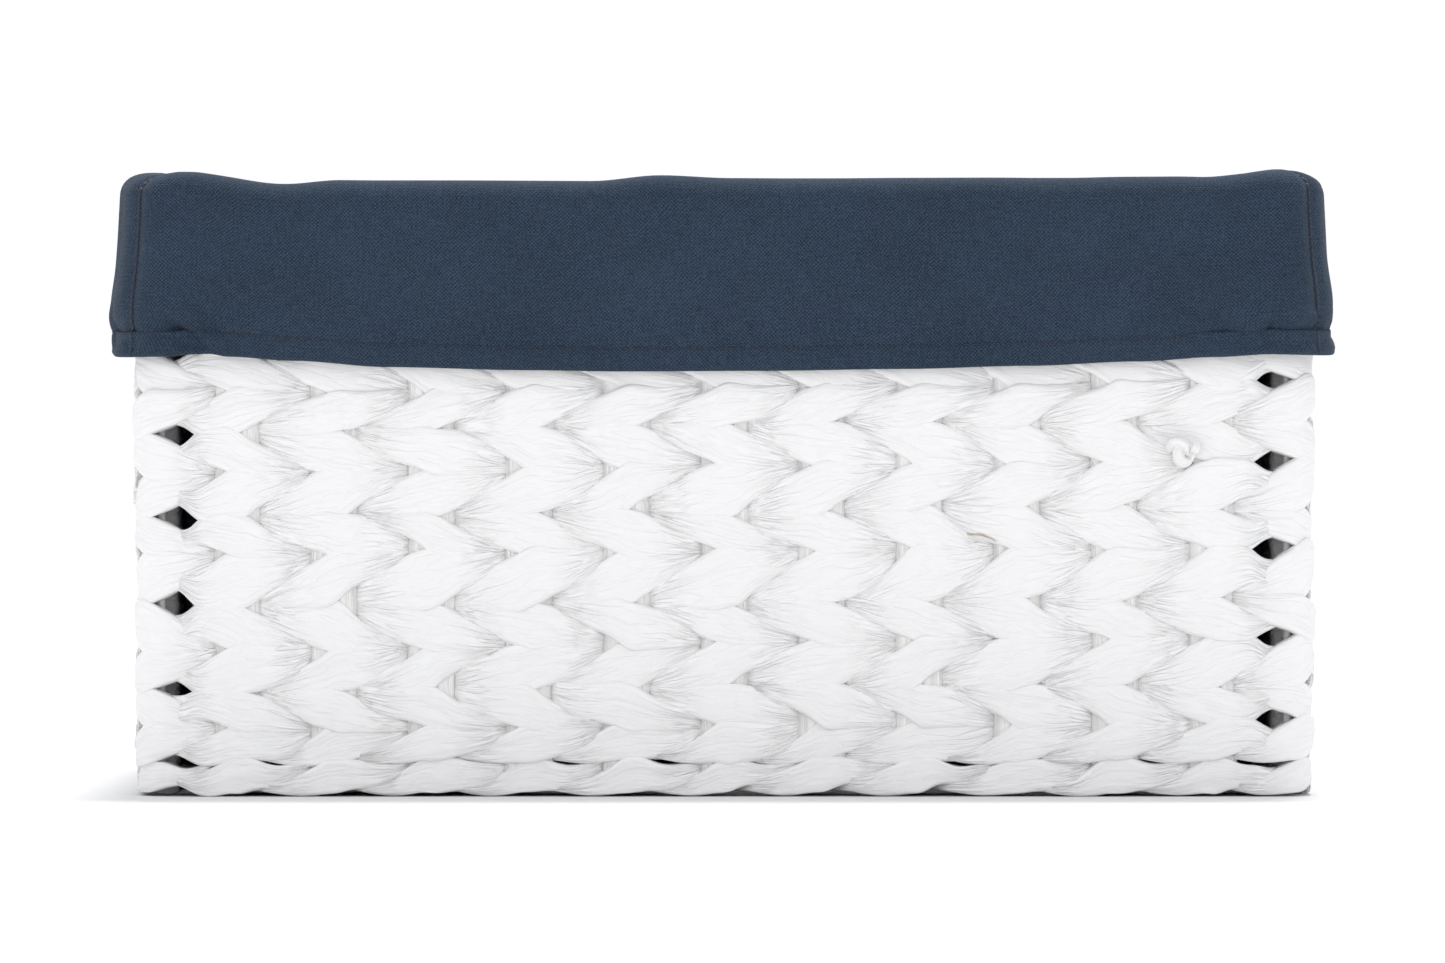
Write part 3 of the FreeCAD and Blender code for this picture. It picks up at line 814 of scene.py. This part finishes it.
def shell(outer, normal, u, v, thickness):
    """A closed sheet of that thickness behind a grid of points, as (points, faces, uv, gather)."""
    inner = outer - normal * thickness
    loop = np.concatenate([outer, inner[::-1]], 0).transpose(1, 0, 2)  # one closed loop for each column
    columns, around = loop.shape[:2]
    u = np.concatenate([u, u[::-1]], 0).T
    v = np.concatenate([v, v[::-1]], 0).T
    closing = [np.concatenate([grid, grid[:, :1]], 1) for grid in (u, v)]
    faces = grid_faces(columns, around, True)
    uv = grid_uv(*closing)
    rows = outer.shape[0]
    for column, flip in ((0, False), (columns - 1, True)):
        front = column * around + np.arange(rows)
        back = column * around + around - 1 - np.arange(rows)
        cap = np.stack([front[:-1], front[1:], back[1:], back[:-1]], -1)
        faces = np.concatenate([faces, cap[:, ::-1] if flip else cap])
        cap_u, cap_v = u[column, :rows], v[column, :rows]
        corners = np.stack([np.stack([cap_u[:-1], cap_v[:-1]], -1), np.stack([cap_u[1:], cap_v[1:]], -1)], 1)
        cap_uv = np.concatenate([corners, corners[:, ::-1] + (0, 0.2 * MM)], 1)
        uv = np.concatenate([uv, cap_uv[:, ::-1] if flip else cap_uv])
    return loop, faces[:, ::-1], uv[:, ::-1], np.zeros(loop.shape[:2])


def unit_normals(points):
    """Normals of a grid of points, on the side where its rows run down as its columns run to the right."""
    down, right = np.gradient(points, axis=0), np.gradient(points, axis=1)
    normal = np.cross(down, right)
    return normal / np.linalg.norm(normal, axis=-1, keepdims=True)


def bell(x, width):
    return np.exp(-((x / width) ** 2))


def outside_fold(along, height, folds):
    """How far straight folds lift the cloth. Each runs from one place to another."""
    lift = 0
    for (x, z), (end_x, end_z), width, rise in folds:
        run = np.array([end_x - x, end_z - z]) * MM
        size = np.linalg.norm(run)
        share = ((along - x * MM) * run[0] + (height - z * MM) * run[1]) / size**2
        across = ((height - z * MM) * run[0] - (along - x * MM) * run[1]) / size
        tapered = smooth_step(share / 0.3) * smooth_step((1 - share) / 0.3 + 0.2)
        dip = 0.5 * bell(across + 1.5 * width * MM, width * MM)
        lift = lift + rise * MM * tapered * (bell(across, width * MM) - dip)
    return lift


def wall_panel(index):
    """One wall's cloth as a grid: up the inside, over the rim, down the outside and round the hem.

    Rows follow the cloth and columns run along the wall. Returns the points, their normals, the distance
    along the wall and down the cloth of each, and the heights between which the cuff hangs.
    """
    rng = np.random.default_rng(60 + index)
    length = LENGTHS[index]
    columns = int(length / (1.55 * MM))
    even = np.linspace(0, 1, columns)
    here = length * (even - 0.1 * np.sin(2 * math.pi * even))[None, :]  # closer together at the corners
    rim, hem, flare = (through(curve, here) for curve in cuff_curves(index))
    slack_cloth = SIDE_SLACK[index] * smooth_step(np.minimum(here, length - here) / (13 * MM))
    face, flare = LINER_OUT + slack_cloth, flare + slack_cloth
    floor_z = LINER_BOTTOM_Z + CLOTH

    def steps(count):
        return np.linspace(0, 1, count, endpoint=False)[:, None]

    t = steps(INSIDE_ROWS)
    parts = [(0 * t, LINER_IN + 0 * t * here, floor_z + (rim - RIM_RISE - floor_z) * t)]
    t = steps(ARCH_ROWS)
    swing = -np.cos(math.pi * t)
    reach = (face - LINER_IN) / 2
    over = np.sign(swing) * np.abs(swing) ** 0.8
    arch = rim - RIM_RISE * (1 - np.sin(math.pi * t) ** 0.8)
    parts.append((t, LINER_IN + reach * (1 + over) + 0 * here, arch))
    t = steps(CUFF_ROWS)
    shoulder, foot = rim - RIM_RISE, hem + FOLD_RADIUS
    bulge = (flare - face) * (t**1.2 - 0.4 * bell(t - 0.87, 0.07)) + 1.1 * MM * bell(t - 0.68, 0.2)
    parts.append((1 + 0 * t, face + bulge, shoulder + (foot - shoulder) * t))
    t = steps(EDGE_ROWS)
    round_hem = FOLD_RADIUS * (1 - np.cos(math.pi * t))
    parts.append((1 + 0 * t, flare - round_hem, foot - FOLD_RADIUS * np.sin(math.pi * t)))
    t = np.linspace(0, 1, HEM_ROWS)[:, None]
    parts.append((1 + 0 * t, flare - 2 * FOLD_RADIUS + 0 * t, foot + (HEM_HEIGHT - FOLD_RADIUS) * t))

    outer_share = np.concatenate([np.broadcast_to(part[0], (len(part[0]), columns)) for part in parts])
    out = np.concatenate([part[1] for part in parts])
    z = np.concatenate([part[2] for part in parts])
    radius = INSIDE_CORNER_RADIUS + (CUFF_CORNER_RADIUS - INSIDE_CORNER_RADIUS) * smooth_step(outer_share)
    # The ends lie on the seams; plan() would take the far one for the next wall's start.
    distance = STARTS[index] + np.clip(here, 1e-6, length - 1e-6) + 0 * out
    points = plan(distance, out, radius)[0] + UP * z[..., None]
    normal = unit_normals(points)

    rows = len(out)
    to_seam = np.minimum(here, length - here) + 0 * out
    clear = smooth_step(to_seam / (14 * MM))
    above_hem = z - hem
    row = np.arange(rows)[:, None]
    on_cuff = (row >= CUFF_START) & (row < CUFF_END)
    broad = smooth_noise(rng, rows, columns, 5, 6, wrap=False)
    small = smooth_noise(rng, rows, columns, 14, 20, wrap=False)
    soft = clear * (0.7 * broad + 0.22 * small) * MM
    slack = np.clip(1 - outer_share * 3, 0, 1)
    folds = smooth_noise(rng, rows, columns, 9, 9, wrap=False)
    inside = slack * clear * (2.4 * np.clip(folds + 0.3, 0, 1) ** 1.5 + 0.5 * np.clip(small, 0, 1)) * MM
    groove = -0.45 * MM * bell(above_hem - STITCH_HEIGHT, 0.9 * MM)
    pucker_noise = smooth_noise(rng, rows, columns, 3, int(length / (9 * MM)), wrap=False)
    pucker = 0.35 * MM * pucker_noise * bell(above_hem - 0.8 * STITCH_HEIGHT, 6 * MM)
    # Gathered corners of the hem: short folds that run from the seam up across the cuff.
    slanted = to_seam * 0.8 + above_hem * 0.6
    near_corner = bell(to_seam - 9 * MM, 9 * MM) * bell(above_hem - 6 * MM, 9 * MM)
    drawn = np.sin(slanted / (2.1 * MM) + 2.5 * pucker_noise) * near_corner
    outside = np.where(on_cuff, groove + pucker * clear + 1.1 * MM * drawn, 0)
    seam_depth = np.where(outer_share > 0.5, 1.3, 0.7) * MM
    seam = -seam_depth * bell(to_seam, 1.1 * MM)
    lifted = np.where(outer_share > 0, np.clip(soft, -0.3 * MM, None), 0) + inside + outside + seam
    if index == 0:
        lifted += outside_fold(here, z, FRONT_FOLDS) * on_cuff
    edge_fade = np.where(row < CUFF_START, 1, smooth_step(above_hem / (3 * MM)))
    lifted = np.where(row < CUFF_END, lifted * edge_fade, 0)
    points = points + normal * lifted[..., None]
    middle = columns // 2
    along_cloth = np.concatenate([[0], np.cumsum(np.linalg.norm(np.diff(points[:, middle], axis=0), axis=1))])
    steps_along = np.linalg.norm(np.diff(points, axis=1), axis=2)
    along_wall = np.concatenate([np.zeros((rows, 1)), np.cumsum(steps_along, axis=1)], 1)
    along_wall -= along_wall[:, [middle]]
    return points, unit_normals(points), along_wall, along_cloth[:, None] + 0 * out, (shoulder, foot)


def thread_run(path, facing, pitch, length, radius):
    """Stitches of thread along a path, as (points, faces, uv, gather). facing is the cloth's normal on it."""
    travelled = np.concatenate([[0], np.cumsum(np.linalg.norm(np.diff(path, axis=0), axis=1))])
    starts = np.arange(0.5 * pitch, travelled[-1] - pitch, pitch)
    # At each ring: place along the stitch, size, and height above the cloth.
    profile = np.array(
        [(-0.5, 0.05, -0.5), (-0.38, 0.9, 0.1), (0.0, 1.0, 0.35), (0.38, 0.9, 0.1), (0.5, 0.05, -0.5)]
    )
    angle = np.linspace(0, 2 * math.pi, 8, endpoint=False)
    places = starts[:, None] + (0.5 + profile[None, :, 0]) * length
    at = np.stack([np.interp(places, travelled, path[:, axis]) for axis in range(3)], -1)
    up = np.stack([np.interp(places, travelled, facing[:, axis]) for axis in range(3)], -1)
    run = np.gradient(at, axis=1)
    run /= np.linalg.norm(run, axis=-1, keepdims=True)
    side = np.cross(run, up)
    size = profile[None, :, 1, None, None] * radius
    at = at + up * (profile[None, :, 2, None] * radius)
    points = at[:, :, None] + side[:, :, None] * np.cos(angle)[None, None, :, None] * size
    points = points + up[:, :, None] * np.sin(angle)[None, None, :, None] * size
    rings = len(profile)
    faces = np.concatenate([grid_faces(rings, 8, True, first=n * rings * 8) for n in range(len(starts))])
    girth = np.linspace(0, 2 * math.pi * radius, 9)
    one = grid_uv(girth[None, :], np.linspace(0, length, rings)[:, None])
    return points, faces, np.tile(one, (len(starts), 1, 1)), np.zeros(points.shape[:-1])


def make_liner_piece(name, part, material):
    piece = make_piece(name, part[0], part[1], part[2], material)
    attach(piece, "liner")
    return piece


def sew_liner():
    hem_threads, seam_threads = [], []
    for index, name in enumerate(WALL_NAMES):
        points, normal, u, v, (shoulder, foot) = wall_panel(index)
        piece = make_liner_piece(f"liner_{name}", shell(points, normal, u, v, CLOTH), LINER_CLOTH)
        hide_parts(f"liner_{name}_panel")
        # The hem's stitching keeps one height above the bottom edge, between whatever rows of points.
        height = foot[0] - FOLD_RADIUS + STITCH_HEIGHT
        row = CUFF_START + CUFF_ROWS * (height - shoulder[0]) / (foot[0] - shoulder[0])
        column = np.arange(points.shape[1])
        below = np.floor(row).astype(int)
        share = (row - below)[:, None]
        path = points[below, column] * (1 - share) + points[below + 1, column] * share
        hem_threads.append(thread_run(path, normal[below, column], *HEM_STITCH))
        rows = slice(CUFF_START - 12, CUFF_END + 3)
        seam_threads.append(thread_run(points[rows, 0], normal[rows, 0], *SEAM_STITCH))
    make_liner_piece("hem_stitches", join_grids(hem_threads), THREAD)
    make_liner_piece("seam_stitches", join_grids(seam_threads), THREAD)
    floor = bottom_panel()
    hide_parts("liner_bottom_panel")


def bottom_panel():
    """The liner's floor: a slack rectangle of cloth with rounded corners, sewn to the wall panels."""
    rng = np.random.default_rng(77)
    half = np.array([HALF_X, HALF_Y]) + LINER_IN
    radius = INSIDE_CORNER_RADIUS + LINER_IN
    columns, rows = 200, 150
    a, b = np.meshgrid(np.linspace(-1, 1, columns) * half[0], np.linspace(1, -1, rows) * half[1])
    into_a, into_b = (
        np.clip((np.abs(value) - (size - radius)) / radius, 0, 1) for value, size in zip((a, b), half)
    )
    round_a, round_b = into_a * np.sqrt(1 - into_b**2 / 2), into_b * np.sqrt(1 - into_a**2 / 2)
    x = np.where(into_a > 0, np.sign(a) * (half[0] - radius + radius * round_a), a)
    y = np.where(into_b > 0, np.sign(b) * (half[1] - radius + radius * round_b), b)
    to_edge = np.minimum(half[0] - np.abs(a), half[1] - np.abs(b))
    broad = smooth_noise(rng, rows, columns, 5, 7, wrap=False)
    creases = 1 - np.abs(smooth_noise(rng, rows, columns, 4, 5, wrap=False))
    rise = (0.7 + 0.9 * broad + 1.5 * creases**6) * smooth_step(to_edge / (25 * MM)) * MM
    points = np.stack([x, y, LINER_BOTTOM_Z + CLOTH + np.clip(rise, 0, None)], -1)
    piece = make_liner_piece("liner_floor", shell(points, unit_normals(points), a, b, CLOTH), LINER_CLOTH)
    return piece


sew_liner()


# ---- Floor, light and camera


def studio():
    scene = bpy.context.scene
    world = bpy.data.worlds.new("studio")
    scene.world = world
    world.use_nodes = True
    world.node_tree.nodes["Background"].inputs["Color"].default_value = (1.0, 1.005, 1.03, 1)
    world.node_tree.nodes["Background"].inputs["Strength"].default_value = 1.0
    scene.view_settings.view_transform = "Standard"
    scene.view_settings.look = "None"

    floor_mesh = bpy.data.meshes.new("floor")
    reach = 6.0
    floor_corners = [(-reach, -reach, 0), (reach, -reach, 0), (reach, reach, 0), (-reach, reach, 0)]
    floor_mesh.from_pydata(floor_corners, [], [(0, 1, 2, 3)])
    floor_mesh.materials.append(Recipe("floor", Base_Color=(0.72, 0.72, 0.72, 1), Roughness=0.9).material)
    floor = bpy.data.objects.new("floor", floor_mesh)
    scene.collection.objects.link(floor)

    lamps = (
        ("front", (-0.5, -2.0, 0.5), 0.2, math.radians(40)),
        ("overhead", (0.1, 0.48, 2.0), 2.4, math.radians(14)),
    )
    for name, place, power, spread in lamps:
        light = bpy.data.lights.new(name, "SUN")
        light.energy = power
        light.angle = spread
        lamp = bpy.data.objects.new(name, light)
        lamp.location = place
        lamp.rotation_euler = (Vector((0, 0, 0.1)) - Vector(place)).to_track_quat("-Z", "Y").to_euler()
        scene.collection.objects.link(lamp)

    data = bpy.data.cameras.new("camera")
    camera = bpy.data.objects.new("camera", data)
    data.sensor_width = 36
    data.lens = 200
    width_seen = 463 * MM
    data.clip_end = 50
    camera.location = (-0.6 * MM, -HALF_Y - WALL_FACE - width_seen * data.lens / data.sensor_width, 101 * MM)
    camera.rotation_euler = (math.pi / 2, 0, 0)
    scene.collection.objects.link(camera)
    scene.camera = camera


studio()
